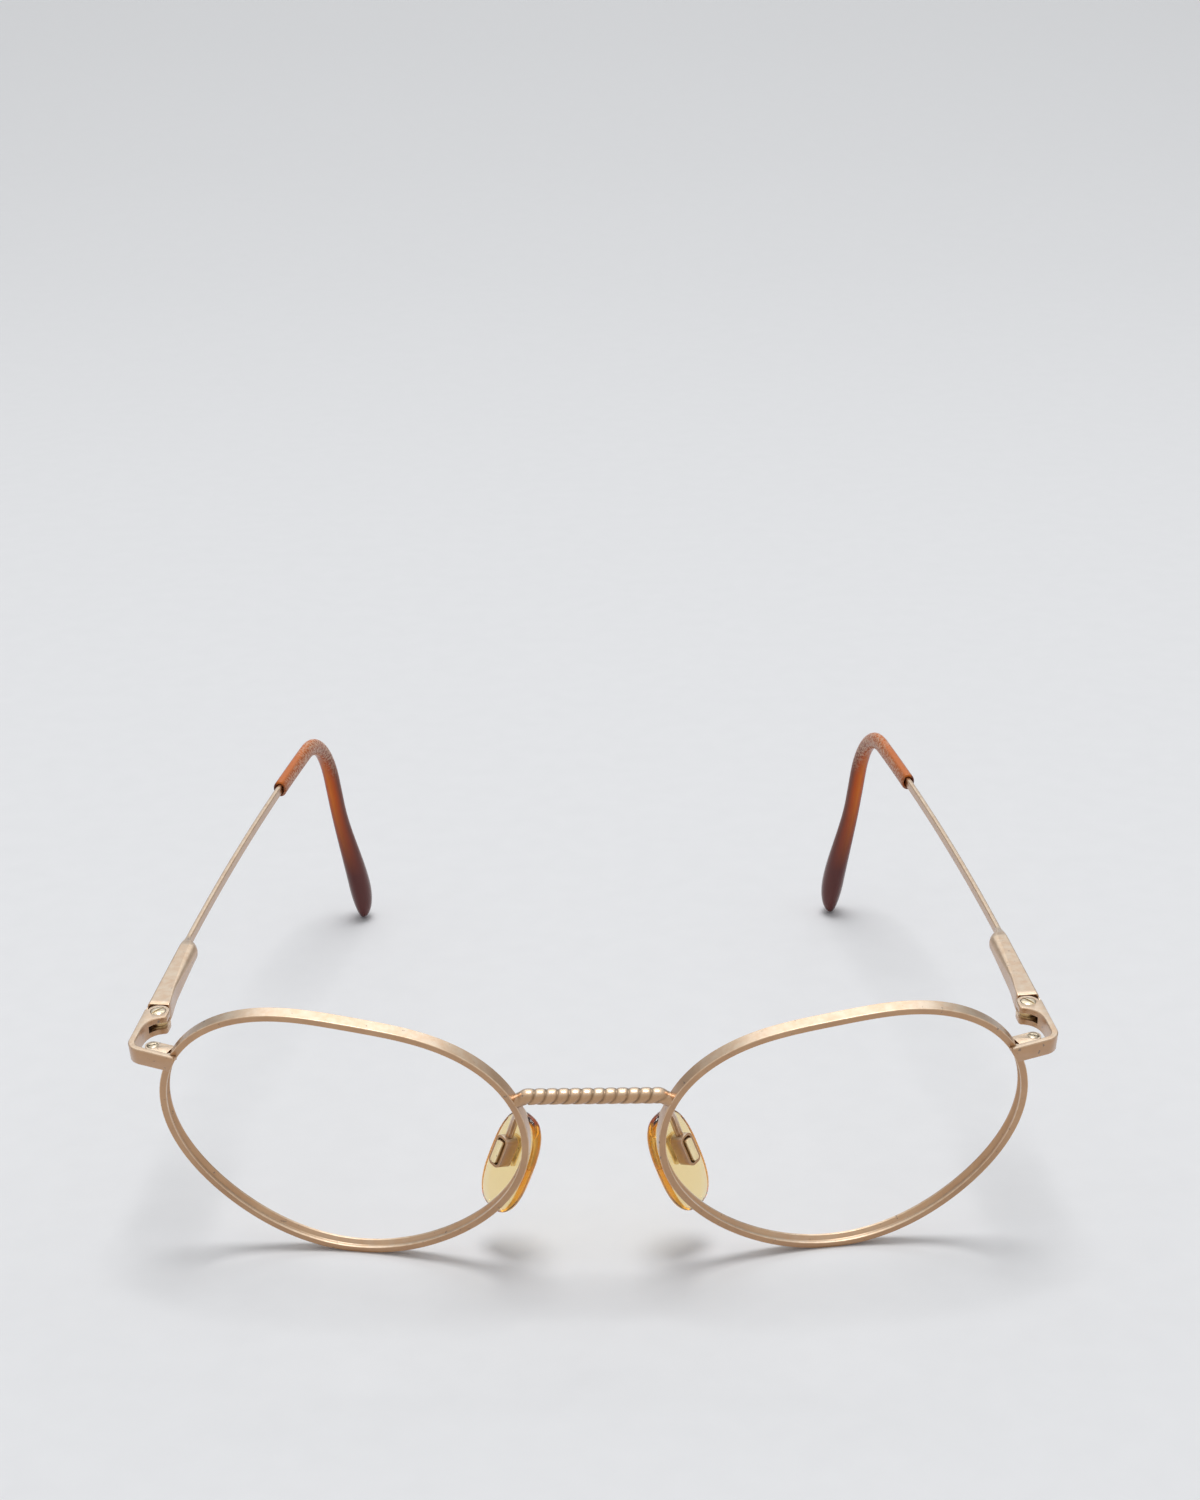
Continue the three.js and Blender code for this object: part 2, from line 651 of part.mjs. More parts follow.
// Distances along the hook, from the mouth of the tip round the bend
function hookDistances(end, dropSteps) {
  const mouth = steps(TIP_AT, TIP_AT + CORE_TAPER, 2);
  return [...mouth, BEND_AT, ...steps(BEND_AT, dropAt, 10), ...steps(dropAt, end, dropSteps)];
}

function temple() {
  const box = [boxFront, ...steps(boxFront, boxFront + BOX_FLARE, 4), ...steps(boxFront + BOX_FLARE, stepFront, 3)];
  const bare = [...steps(stepFront, stepRear, 8), ...steps(stepRear, TIP_AT, 6)];
  const distances = [...box, ...bare, ...hookDistances(TEMPLE_LENGTH - CORE_END, 3)];
  const bar = loft(distances.map((distance) => templeStation(distance, 0)));
  const lip = block(
    at(LUG_RADIUS + FOLD_GAP, SEAM + FOLD_GAP, LIP_DROP - HINGE_HEIGHT / 2),
    at(OUTER_FACE, boxFront + EDGE_BEVEL, HINGE_HEIGHT / 2 - LIP_DROP),
  );
  const wide = GUIDE_WIDTH / 2 + RUNNING_GAP;
  const high = GUIDE_HEIGHT / 2 + RUNNING_GAP;
  const stopRear = stopFront + STOP_LENGTH + RUNNING_GAP;
  const channel = block(at(channelX - wide, 0, -high), at(channelX + wide, stopRear, high));
  const springBore = rod(STEM_HEAD_RADIUS + RUNNING_GAP, stopFront, headRear + FOLD_GAP);
  return cut(join(bar, lip), channel, springBore.translate(channelX, 0, 0));
}

// Tip: an oval sleeve that widens to a flat paddle with a round end
function tipStation(distance) {
  const widen = smoothstep(distance, dropAt + TIP_SLIM, noseAt);
  const nose = Math.max(distance - noseAt, 0) / TIP_NOSE;
  const round = Math.sqrt(1 - Math.min(nose, TIP_BLUNTNESS) ** 2);
  const width = lerp(TIP_MOUTH_WIDTH, TIP_END_WIDTH, widen) * round;
  const height = lerp(TIP_MOUTH_HEIGHT, TIP_END_HEIGHT, widen ** 2) * round;
  const section = oval(width, height, 14);
  const inward = (TIP_END_WIDTH - TIP_MOUTH_WIDTH) * TIP_BULGE * widen * round;
  section.forEach((point) => point.setX(point.x + BAR_THICKNESS / 2 - OUTER_FACE + inward));
  return { section, frame: templeFrame(distance) };
}

function templeTip() {
  const nose = steps(0, Math.PI / 2, 5).map((angle) => noseAt + TIP_NOSE * Math.sin(angle));
  const distances = [TIP_AT, ...hookDistances(noseAt, 4), ...nose];
  const sleeve = loft(distances.map(tipStation));
  const boreEnd = TEMPLE_LENGTH - CORE_END + RUNNING_GAP;
  const bore = [TIP_AT - TIP_NOSE, TIP_AT, ...hookDistances(boreEnd, 3)];
  return cut(sleeve, loft(bore.map((distance) => templeStation(distance, RUNNING_GAP))));
}

// Nose pad, its lug, its box and its arm

const padFace = PAD_THICKNESS / 2;
const padBoxNear = padFace + PAD_ROCK_GAP;
const padBoxFar = padBoxNear + PAD_BOX_LENGTH;
const padBoxHeight = LUG_LENGTH + 2 * (PAD_ROCK_PLAY + PAD_BOX_WALL);
const padBoxWidth = LUG_WIDTH + 2 * (PAD_ROCK_PLAY + PAD_BOX_WALL);

// Turns an outline drawn in Y and Z into a solid between two distances from the pad's middle
function padPrism(shape, near, far) {
  const turn = new THREE.Matrix4().makeBasis(at(0, 1, 0), at(0, 0, 1), at(1, 0, 0));
  return new THREE.ExtrudeGeometry(shape, { depth: far - near, bevelEnabled: false, curveSegments: 3 })
    .applyMatrix4(turn)
    .translate(near, 0, LUG_UP);
}

// The lug's stem passes through the box and its foot is moulded into the pad
function padLug(margin) {
  const width = LUG_WIDTH + 2 * margin;
  const length = LUG_LENGTH + 2 * margin;
  const foot = LUG_FOOT / 2 + margin;
  const radius = width * LUG_ROUNDNESS;
  const stem = roundedRectangle(width, length, radius);
  const flange = roundedRectangle(width + 2 * LUG_FOOT_MARGIN, length + 2 * LUG_FOOT_MARGIN, radius);
  return join(padPrism(stem, 0, padBoxFar + LUG_PROUD), padPrism(flange, -foot, foot));
}

function padBox() {
  const shape = roundedRectangle(padBoxWidth, padBoxHeight, padBoxWidth * PAD_BOX_ROUNDNESS);
  const width = padBoxWidth - 2 * PAD_BOX_WALL;
  const height = padBoxHeight - 2 * PAD_BOX_WALL;
  shape.holes.push(roundedRectangle(width, height, width * LUG_ROUNDNESS));
  return padPrism(shape, padBoxNear, padBoxFar);
}

// Flat behind, crowned towards the nose, with an outline between an oval and a rectangle
function nosePad() {
  const half = PAD_THICKNESS / 2;
  const profile = [
    [0, -1],
    [0.6, -0.95],
    [0.88, -0.75],
    [0.98, -0.35],
    [1, 0.2],
    [0.98, 0.7],
    [0.9, 1],
    [0, 1],
  ].map(([radius, height]) => new THREE.Vector2(radius, height * half));
  const pad = new THREE.LatheGeometry(profile, 24).rotateZ(-Math.PI / 2);
  const position = pad.attributes.position;
  for (let i = 0; i < position.count; i++) {
    const y = position.getY(i);
    const z = position.getZ(i);
    const angle = Math.atan2(z, y);
    const power = PAD_SQUARENESS;
    const swell = (Math.abs(Math.cos(angle)) ** power + Math.abs(Math.sin(angle)) ** power) ** (-1 / power);
    position.setY(i, (y * swell * PAD_WIDTH) / 2);
    position.setZ(i, (z * swell * PAD_LENGTH) / 2);
  }
  return cut(pad, padLug(SEAT_GAP));
}

// The arm leaves the back of the rim, swings out and meets the top of the box
function padArm(lens, pad) {
  const root = rimPoint(ARM_ANGLE, RIM_THICKNESS / 2, RIM_DEPTH / 2).applyMatrix4(lens.matrix);
  const straight = root.clone().add(at(ARM_ROOT_SPREAD, ARM_ROOT_REACH, 0));
  const boxMiddle = (padBoxNear + padBoxFar) / 2;
  const boxTop = LUG_UP + padBoxHeight / 2 + SEAT_GAP;
  const end = at(boxMiddle, 0, boxTop).applyMatrix4(pad.matrix);
  const above = at(boxMiddle, 0, boxTop + ARM_BOX_REACH).applyMatrix4(pad.matrix);
  const curve = new THREE.CubicBezierCurve3(root, straight, above, end);
  const frames = curve.computeFrenetFrames(ARM_STEPS);
  const section = oval(ARM_DIAMETER, ARM_DIAMETER, 8);
  const stations = frames.tangents.map((tangent, i) => {
    const frame = new THREE.Matrix4().makeBasis(frames.normals[i], frames.binormals[i], tangent);
    return { section, frame: frame.setPosition(curve.getPointAt(i / ARM_STEPS)) };
  });
  return cut(loft(stations), rimSpace(lens, 1));
}

// Bridge: strands twisted into a rod whose turns stand upright on top, with plain ends on the rims

function bridgeSection(diameter, relief, x) {
  return Array.from({ length: BRIDGE_POINTS }, (_, i) => {
    const angle = (2 * Math.PI * i) / BRIDGE_POINTS;
    const turns = x / BRIDGE_PITCH + (BRIDGE_STRANDS * (angle + Math.sin(angle))) / (2 * Math.PI);
    const groove = (1 - Math.cos(2 * Math.PI * turns)) / 2;
    const radius = (diameter / 2) * (1 - BRIDGE_RELIEF * relief * groove);
    return new THREE.Vector2(radius * Math.cos(angle), radius * Math.sin(angle));
  });
}

function bridge(lens) {
  const end = rimPoint(BRIDGE_ANGLE, RIM_THICKNESS / 2, 0).applyMatrix4(lens.matrix);
  const height = (x) => end.z + BRIDGE_RISE * smoothstep(end.x - Math.abs(x), 0, BRIDGE_SHOULDER);
  const stations = Array.from({ length: BRIDGE_STEPS + 1 }, (_, i) => {
    const x = lerp(-end.x, end.x, i / BRIDGE_STEPS);
    const share = smoothstep(end.x - Math.abs(x), RIM_THICKNESS / 2, BRIDGE_SHOULDER);
    const step = RIM_EDGE / 10;
    const along = at(2 * step, 0, height(x + step) - height(x - step)).normalize();
    const back = at(0, 1, 0);
    const down = new THREE.Vector3().crossVectors(back, along);
    const frame = new THREE.Matrix4().makeBasis(down, back, along).setPosition(x, end.y, height(x));
    const diameter = lerp(BRIDGE_END_DIAMETER, BRIDGE_DIAMETER, share);
    return { section: bridgeSection(diameter, share, x), frame };
  });
  return loft(stations);
}

// Assembly

const lens = lensGroup();
const hinge = hingeGroup(lens);
const pad = padGroup(lens);
const upright = new THREE.Group();
const toHinge = hinge.matrix.clone().invert();
const rimCutAtHinge = rimSpace(lens, 1).applyMatrix4(toHinge);
const lapCutsAtHinge = [
  rimSpace(lens, 1, RIM_THICKNESS + SEAT_GAP, RIM_DEPTH + 2 * SEAT_GAP).applyMatrix4(toHinge),
  rimSpace(lens, 1, LAP_MARGIN).applyMatrix4(toHinge),
];

const rimShape = rim();
const tipShape = templeTip();
const lensPieces = [["rim", rimShape, gold]];
const hingePieces = [
  ["endpiece", endpiece(lapCutsAtHinge), gold],
  ["closing_block_upper", closingHalf(rimCutAtHinge, true), polishedGold],
  ["closing_block_lower", closingHalf(rimCutAtHinge, false), polishedGold],
  ["closing_screw", closingScrew(), steel],
  ["hinge_screw", hingeScrew(), polishedGold],
  ["hinge_carriage", hingeCarriage(), polishedGold],
  ["hinge_spring", hingeSpring(), steel],
  ["spring_stop", springStop(), steel],
  ["temple", temple(), gold],
  ["temple_tip", tipShape, amber],
];
const padPieces = [
  ["nose_pad", nosePad(), clearAmber],
  ["pad_lug", padLug(0), polishedGold],
  ["pad_box", padBox(), gold],
];
const sidePieces = [["pad_arm", padArm(lens, pad), gold]];

function side(name, mirror) {
  const group = new THREE.Group();
  const places = [
    [lens, lensPieces],
    [hinge, hingePieces],
    [pad, padPieces],
    [upright, sidePieces],
  ];
  for (const [place, pieces] of places) {
    const holder = place.clone();
    holder.add(...pieces.map(([piece, shape, finish]) => mesh(`${name}_${piece}`, shape, finish)));
    group.add(holder);
  }
  group.scale.x = mirror;
  return group;
}

// The frame leans until its rims and its tips both stand on the floor
function standingLean() {
  const lowest = (geometry, place, angle) => {
    const turn = new THREE.Matrix4().makeRotationX(angle).multiply(place.matrix);
    const placed = geometry.clone().applyMatrix4(turn);
    placed.computeBoundingBox();
    return placed.boundingBox.min.z;
  };
  let low = degrees(-10);
  let high = degrees(40);
  for (let i = 0; i < 30; i++) {
    const middle = (low + high) / 2;
    const tipsHang = lowest(tipShape, hinge, middle) > lowest(rimShape, lens, middle);
    low = tipsHang ? low : middle;
    high = tipsHang ? middle : high;
  }
  return (low + high) / 2;
}

const front = new THREE.Group();
const bridgeShape = cut(bridge(lens), rimSpace(lens, 1), rimSpace(lens, -1));
front.add(side("left", 1), side("right", -1), mesh("bridge", bridgeShape, gold));
front.rotation.x = standingLean();

const eyeglasses = new THREE.Group();
eyeglasses.add(front);
const bounds = new THREE.Box3().setFromObject(eyeglasses, true);
front.position.set(0, -(bounds.min.y + bounds.max.y) / 2, -bounds.min.z);
export default eyeglasses;
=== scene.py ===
import math

import bmesh
import bpy
from mathutils import Matrix, Vector

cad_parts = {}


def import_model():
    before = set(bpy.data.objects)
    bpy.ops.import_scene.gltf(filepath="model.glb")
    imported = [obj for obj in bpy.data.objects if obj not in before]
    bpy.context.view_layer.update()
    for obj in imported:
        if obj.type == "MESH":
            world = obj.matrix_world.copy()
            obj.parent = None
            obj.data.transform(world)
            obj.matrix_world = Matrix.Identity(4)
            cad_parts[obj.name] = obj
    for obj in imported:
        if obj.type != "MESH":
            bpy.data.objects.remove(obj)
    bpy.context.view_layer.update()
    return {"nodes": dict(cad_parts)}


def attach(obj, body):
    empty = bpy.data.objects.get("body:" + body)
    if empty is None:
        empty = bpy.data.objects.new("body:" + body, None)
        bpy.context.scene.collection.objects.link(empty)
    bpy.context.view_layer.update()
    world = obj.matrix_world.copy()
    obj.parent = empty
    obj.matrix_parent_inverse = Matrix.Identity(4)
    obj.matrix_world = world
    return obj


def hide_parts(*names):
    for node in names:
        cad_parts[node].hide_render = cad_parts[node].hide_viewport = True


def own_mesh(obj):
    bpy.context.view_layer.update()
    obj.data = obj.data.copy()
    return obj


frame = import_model()
cad = frame["nodes"]

MM = 0.001

# Placement of the front and of the frames that its pieces are drawn in
FRONT_LEAN = math.radians(13.5081)
FRONT_AT = (0, -54.8932, 21.6697)
LENS_X = 33.7350
WRAP = math.radians(8.3)
HINGE_AT = (59.8157, 13.6475, 8.5238)
PANTOSCOPIC = math.radians(10.5)
CONVERGENCE = math.radians(6)
PAD_AT = (11.4, 2.8709, -8.65)
PAD_FLARE = math.radians(27)
PAD_SPLAY = math.radians(38)

# Lens openings and rim wire
OPENING = (48.6, 40.6)
OVAL, TURN, SKEW, FLAT_TOP = 0.094, 0.027, -0.014, 0.045
RIM_THICKNESS, RIM_DEPTH = 1.0, 1.8
RIM_EDGE, INNER_EDGE = 0.1, 0.07
GROOVE_WIDTH, GROOVE_DEPTH = 1.2, 0.5
ENDPIECE_ANGLE = math.radians(24.3)
RIM_END = 0.0033
RIM_RINGS = 200

# Bridge
BRIDGE_DIAMETER, BRIDGE_END = 2.2, 1.9
STRANDS, BRIDGE_PITCH, BRIDGE_RELIEF = 3, 1.55, 0.18
BRIDGE_RISE, BRIDGE_SHOULDER = 0.8, 1.9
BRIDGE_ANGLE = math.radians(160.7)
BRIDGE_SINK = 0.6 * RIM_THICKNESS
BRIDGE_RINGS, BRIDGE_POINTS = 280, 60

# Temple, from its spring box to its tip
OUTER_FACE, SEAM, FOLD_GAP = 1.95, 0.3, 0.12
HINGE_HEIGHT, LUG_RADIUS, LIP_DROP, LIP_EDGE = 2.7, 1.6, 0.3, 0.06
BOX_FRONT = LUG_RADIUS + FOLD_GAP
BOX_WIDTH, BOX_REAR_WIDTH, BOX_FLARE, BOX_LENGTH = 3.0, 2.6, 6, 19.7
NARROWING = (BOX_LENGTH - 1, BOX_LENGTH + 3)
BOX_ROUND, EDGE_ROUND, BOX_BEVEL = 1.15, 0.3, 0.05
# Share of the paler edge tone on the spring box: wear, and a painted highlight
BOX_WEAR_AND_SHEEN = 0.5
BAR_THICKNESS, BAR_HEIGHT, BAR_REACH = 0.8, 1.55, 4
BOX_RINGS, NARROWING_RINGS, BAR_RINGS = 16, 30, 40
TEMPLE_LENGTH, TEMPLE_BOW, TIP_TWIST = 134.3, 8.2, math.radians(14)
BEND_AT, BEND_RADIUS, BEND_ANGLE = 89.2, 11.5, math.radians(85)
DROP_AT = BEND_AT + BEND_RADIUS * BEND_ANGLE
TIP_AT, TIP_SLIM, TIP_NOSE, TIP_BULGE = 74.4, 5, 6.5, 0.5
TIP_MOUTH, TIP_NECK, TIP_END = (2.15, 2.75), 2.7, (3.8, 5.4)
TIP_LIP, TIP_WALL, TIP_MOUTH_DEPTH = 0.12, 0.42, 2.5
TIP_NOSE_AT = TEMPLE_LENGTH - TIP_NOSE
TIP_RINGS, NOSE_RINGS, NOSE_LIMIT = 80, 16, 0.998

# Nose pads
PAD_LENGTH, PAD_WIDTH, PAD_THICKNESS, PAD_SQUARENESS = 15, 8.0, 2.0, 2.7

# Carried-over solids: edges sharper than this are softened, points nearer than this are joined
SHARP_EDGE, WELD = math.radians(32), 0.002

# Colours
# Pale tone along edges: wear, and a painted highlight
WEAR_AND_SHEEN_GOLD = (0.78, 0.57, 0.36)
# Pale tone painted on faces that turn upwards: a painted highlight from the lamps above
PAINTED_TOP_HIGHLIGHT_GOLD = (0.54, 0.45, 0.33)
# Dark tone for dirt specks, and for grooves, where it is also painted shade
GROOVE_DIRT_AND_SHADE = (0.13, 0.075, 0.035)
SLEEVE_END = (0.12, 0.032, 0.028)
# Pale crackle bloom, and a painted sheen where it covers the top of the bend
SLEEVE_BLOOM_AND_SHEEN = (0.62, 0.40, 0.27)
PAD_TINT, PAD_DENSITY = (0.955, 0.72, 0.03, 1), 420.0
PAPER = (0.795, 0.8, 0.815)
PAPER_FIBRE = (0.81, 0.815, 0.83)
# Darker paper far behind the object: painted shade
FAR_PAPER_SHADE = (0.62, 0.625, 0.635)
WALLS = (0.78, 0.8, 0.82, 1)

# Marks in a metre of each surface
METAL_PATCHES, METAL_CLOUDS, METAL_SPECKS, METAL_GRAIN = 900, 260, 1300, 9000
CRACKS, SMEARS, FIBRES = 2600, 500, 180

# Paper sweep behind the object, in metres
PAPER_HALF_WIDTH, PAPER_FRONT = 3.0, -1.5
SWEEP_AT, SWEEP_RADIUS = 0.49, 1.4

# Camera
CAMERA_AT = (0.0029, -0.35089, 0.19246)
PITCH, YAW, ROLL = math.radians(21.37), math.radians(-0.27), math.radians(-0.76)


# Frames


def turn(angle, axis):
    return Matrix.Rotation(angle, 4, axis)


FRONT = Matrix.Scale(MM, 4) @ Matrix.Translation(FRONT_AT) @ turn(FRONT_LEAN, "X")
LENS = FRONT @ Matrix.Translation((LENS_X, 0, 0)) @ turn(WRAP, "Z")
HINGE = FRONT @ Matrix.Translation(HINGE_AT) @ turn(-PANTOSCOPIC, "X") @ turn(CONVERGENCE, "Z")
PAD = FRONT @ Matrix.Translation(PAD_AT) @ turn(-PAD_SPLAY, "Z") @ turn(-PAD_FLARE, "Y")
SIDES = {"left": 1, "right": -1}


# Meshes


def smooth(value, low, high):
    share = min(max((value - low) / (high - low), 0), 1)
    return share * share * (3 - 2 * share)


def mix(low, high, share):
    return low + (high - low) * share


def steps(start, end, count):
    return [mix(start, end, i / count) for i in range(count + 1)]


def running_lengths(points):
    lengths = [0.0]
    for before, after in zip(points, points[1:]):
        lengths.append(lengths[-1] + (after - before).length)
    return lengths


def add_skin(mesh, rings, mirror, relief):
    """A closed skin over rings of points. Its UV is metres along it and the share of the way around."""
    rings = [[Vector((point.x * mirror, point.y, point.z)) for point in ring] for ring in rings]
    count = len(rings[0])
    along = running_lengths([sum(ring, Vector()) / count for ring in rings])
    uv = mesh.loops.layers.uv.verify()
    marks = mesh.verts.layers.float.get("relief") or mesh.verts.layers.float.new("relief")
    rows = [[mesh.verts.new(point) for point in ring] for ring in rings]
    for i in range(len(rows)):
        for j in range(count):
            rows[i][j][marks] = relief[i][j] if relief else 0
    for i in range(len(rows) - 1):
        for j in range(count):
            k = (j + 1) % count
            corners = [
                (rows[i][j], along[i], j / count),
                (rows[i][k], along[i], (j + 1) / count),
                (rows[i + 1][k], along[i + 1], (j + 1) / count),
                (rows[i + 1][j], along[i + 1], j / count),
            ]
            face = mesh.faces.new([corner[0] for corner in corners])
            face.smooth = True
            for loop, corner in zip(face.loops, corners):
                loop[uv].uv = corner[1:]
    mesh.faces.new(rows[0])
    mesh.faces.new(rows[-1])


def piece(name, skins, mirror, material, node, slot, body):
    """One object from one or more skins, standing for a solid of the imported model."""
    mesh = bmesh.new()
    for rings, relief in skins:
        add_skin(mesh, rings, mirror, relief)
    bmesh.ops.recalc_face_normals(mesh, faces=mesh.faces[:])
    data = bpy.data.meshes.new(name)
    mesh.to_mesh(data)
    mesh.free()
    data.materials.append(material)
    shape = bpy.data.objects.new(name, data)
    bpy.context.scene.collection.objects.link(shape)
    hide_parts(node)
    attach(shape, body)


def rounded(corners, arc_steps=4, hold=0.03):
    """An outline of (point, relief) round (x, y, radius) corners. Points by each arc keep flats flat."""
    outline = []
    for i, (x, y, radius) in enumerate(corners):
        corner = Vector((x, y))
        before = (Vector(corners[i - 1][:2]) - corner).normalized()
        after = (Vector(corners[(i + 1) % len(corners)][:2]) - corner).normalized()
        half = math.acos(max(-1, min(1, before.dot(after)))) / 2
        reach = radius / math.tan(half)
        centre = corner + (before + after).normalized() * (radius / math.sin(half))
        start = corner + before * reach - centre
        end = corner + after * reach - centre
        outline.append((corner + before * (reach + hold), 0))
        for step in range(arc_steps + 1):
            outline.append((centre + start.slerp(end, step / arc_steps).normalized() * radius, 1))
        outline.append((corner + after * (reach + hold), 0))
    return outline


# Rims


def raw_outline(angle):
    """The lens opening's outline, before it is brought to size."""
    radius = 1 + OVAL * math.cos(2 * angle) + TURN * math.sin(2 * angle)
    radius += SKEW * math.cos(3 * angle) + FLAT_TOP * math.sin(3 * angle)
    return Vector((radius * math.cos(angle), radius * math.sin(angle)))


RAW_POINTS = [raw_outline(math.radians(i / 2)) for i in range(720)]
RAW_WIDTH = max(point.x for point in RAW_POINTS) - min(point.x for point in RAW_POINTS)
RAW_HEIGHT = max(point.y for point in RAW_POINTS) - min(point.y for point in RAW_POINTS)


def opening_point(angle):
    point = raw_outline(angle)
    return Vector((point.x * OPENING[0] / RAW_WIDTH, point.y * OPENING[1] / RAW_HEIGHT))


def rim_point(angle, out, back):
    """A point out from the edge of the opening and back from the middle of the wire."""
    step = math.radians(0.5)
    edge = (opening_point(angle + step) - opening_point(angle - step)).normalized()
    point = opening_point(angle) + Vector((edge.y, -edge.x)) * out
    return Vector((point.x, back, point.y))


def rim_section():
    """The wire's section as (point, relief): rounded outside, with the lens groove inside."""
    half = RIM_DEPTH / 2
    mouth = GROOVE_WIDTH / 2
    front = [(0, -half, INNER_EDGE), (RIM_THICKNESS, -half, RIM_EDGE)]
    rear = [(RIM_THICKNESS, half, RIM_EDGE), (0, half, INNER_EDGE)]
    outside = rounded(front + rear)
    # Relief above zero paints the lip paler as wear and highlight; below zero paints the groove darker
    # as dirt and shade
    lip = [((0, mouth + 0.03), 0.3), ((0, mouth), 0.3), ((0.04, mouth - 0.05), 0)]
    wall = lip + [((GROOVE_DEPTH - 0.08, 0.12), -0.3)]
    groove = wall + [((GROOVE_DEPTH, 0), -0.5)]
    groove += [((out, -back), relief) for (out, back), relief in reversed(wall)]
    return outside + [(Vector(point), relief) for point, relief in groove]


def rims(material):
    """Each wire runs once round its opening and stays open by a hair at the endpiece."""
    section = rim_section()
    relief = [[value for point, value in section]] * (RIM_RINGS + 1)
    for side, mirror in SIDES.items():
        rings = []
        for turned in steps(RIM_END, 2 * math.pi - RIM_END, RIM_RINGS):
            angle = ENDPIECE_ANGLE + turned
            rings.append([LENS @ rim_point(angle, point.x, point.y) for point, value in section])
        place = (f"{side}_rim", "gold_metal", "front")
        piece(f"{side}_rim_wire", [(rings, relief)], mirror, material, *place)


# Bridge


def bridge_ring(place, diameter, relief, x):
    """Twisted strands whose turns stand upright on top, as a ring of points and their relief."""
    ring = []
    marks = []
    for i in range(BRIDGE_POINTS):
        angle = 2 * math.pi * i / BRIDGE_POINTS
        turns = x / BRIDGE_PITCH + STRANDS * (angle + math.sin(angle)) / (2 * math.pi)
        groove = relief * abs(2 * ((turns + 0.5) % 1) - 1) ** 3
        radius = diameter / 2 * (1 - BRIDGE_RELIEF * groove)
        ring.append(place @ Vector((radius * math.cos(angle), radius * math.sin(angle), 0)))
        # Relief below zero paints each groove darker, as dirt and painted shade
        marks.append(-groove)
    return ring, marks


def bridge(material):
    """A twisted rope whose plain ends lean with the rims that they meet."""
    to_front = FRONT.inverted() @ LENS
    end = to_front @ rim_point(BRIDGE_ANGLE, BRIDGE_SINK, 0)
    nearby, ahead = 0.05, 0.01
    rim_run = to_front @ rim_point(BRIDGE_ANGLE - nearby, 0, 0)
    rim_run -= to_front @ rim_point(BRIDGE_ANGLE + nearby, 0, 0)
    slant = rim_run.x / rim_run.z

    def height(x):
        return end.z + BRIDGE_RISE * smooth(end.x - abs(x), 0, BRIDGE_SHOULDER)

    rings = []
    relief = []
    for x in steps(-end.x, end.x, BRIDGE_RINGS):
        share = smooth(end.x - abs(x), RIM_THICKNESS / 2, BRIDGE_SHOULDER)
        along = Vector((2 * ahead, 0, height(x + ahead) - height(x - ahead))).normalized()
        back = Vector((0, 1, 0))
        place = Matrix((back.cross(along), back, along)).transposed().to_4x4()
        place.translation = (x, end.y, height(x))
        diameter = mix(BRIDGE_END, BRIDGE_DIAMETER, share)
        skew = Matrix.Identity(4)
        skew[2][0] = -slant * math.copysign(1 - share, x)
        ring, marks = bridge_ring(FRONT @ place @ skew, diameter, share, x)
        rings.append(ring)
        relief.append(marks)
    piece("bridge_rope", [(rings, relief)], 1, material, "bridge", "gold_metal", "front")


# Temples


def temple_frame(distance):
    """The frame of the temple wire at a distance from the hinge: X inwards, Y up, Z along the wire."""
    bend = (min(max(distance, BEND_AT), DROP_AT) - BEND_AT) / BEND_RADIUS
    share = max(distance - BOX_LENGTH, 0) / (TEMPLE_LENGTH - BOX_LENGTH)
    along = Vector((0, math.cos(bend), -math.sin(bend)))
    up = Vector((0, math.sin(bend), math.cos(bend)))
    centre = Vector((-TEMPLE_BOW * share**2, min(distance, BEND_AT), 0))
    centre.y += BEND_RADIUS * math.sin(bend)
    centre.z -= BEND_RADIUS * (1 - math.cos(bend))
    centre += along * max(distance - DROP_AT, 0)
    place = Matrix((Vector((-1, 0, 0)), up, along)).transposed().to_4x4()
    place.translation = centre
    return HINGE @ place @ turn(TIP_TWIST * share**4, "Z")


def bar_ring(distance, inset=0.0):
    """The spring box narrows into the bar, and its inner edges grow round towards its end."""
    along = smooth(distance, BOX_FRONT, BOX_LENGTH)
    flare = smooth(distance, BOX_FRONT, BOX_FRONT + BOX_FLARE)
    step = smooth(distance, *NARROWING)
    width = mix(mix(BOX_WIDTH, BOX_REAR_WIDTH, flare), BAR_THICKNESS, step)
    half = mix(HINGE_HEIGHT, BAR_HEIGHT, step) / 2 - inset
    inner_round = mix(mix(EDGE_ROUND / 2, BOX_ROUND, along), EDGE_ROUND, step)
    outer = inset - OUTER_FACE
    inner = width - OUTER_FACE - inset
    corners = [(outer, -half, EDGE_ROUND), (inner, -half, inner_round)]
    corners += [(inner, half, inner_round), (outer, half, EDGE_ROUND)]
    place = temple_frame(distance)
    section = rounded(corners)
    ring = [place @ Vector((*point, 0)) for point, relief in section]
    return ring, [BOX_WEAR_AND_SHEEN * relief for point, relief in section]


def lip_ring(distance):
    """The thin lip at the front of the spring box, outside the hinge lugs."""
    half = HINGE_HEIGHT / 2 - LIP_DROP
    corners = [(-OUTER_FACE, -half), (-BOX_FRONT, -half), (-BOX_FRONT, half), (-OUTER_FACE, half)]
    section = rounded([(*corner, LIP_EDGE) for corner in corners], 2)
    place = HINGE @ turn(math.pi / 2, "X")
    return [place @ Vector((-point.x, point.y, -distance)) for point, relief in section]


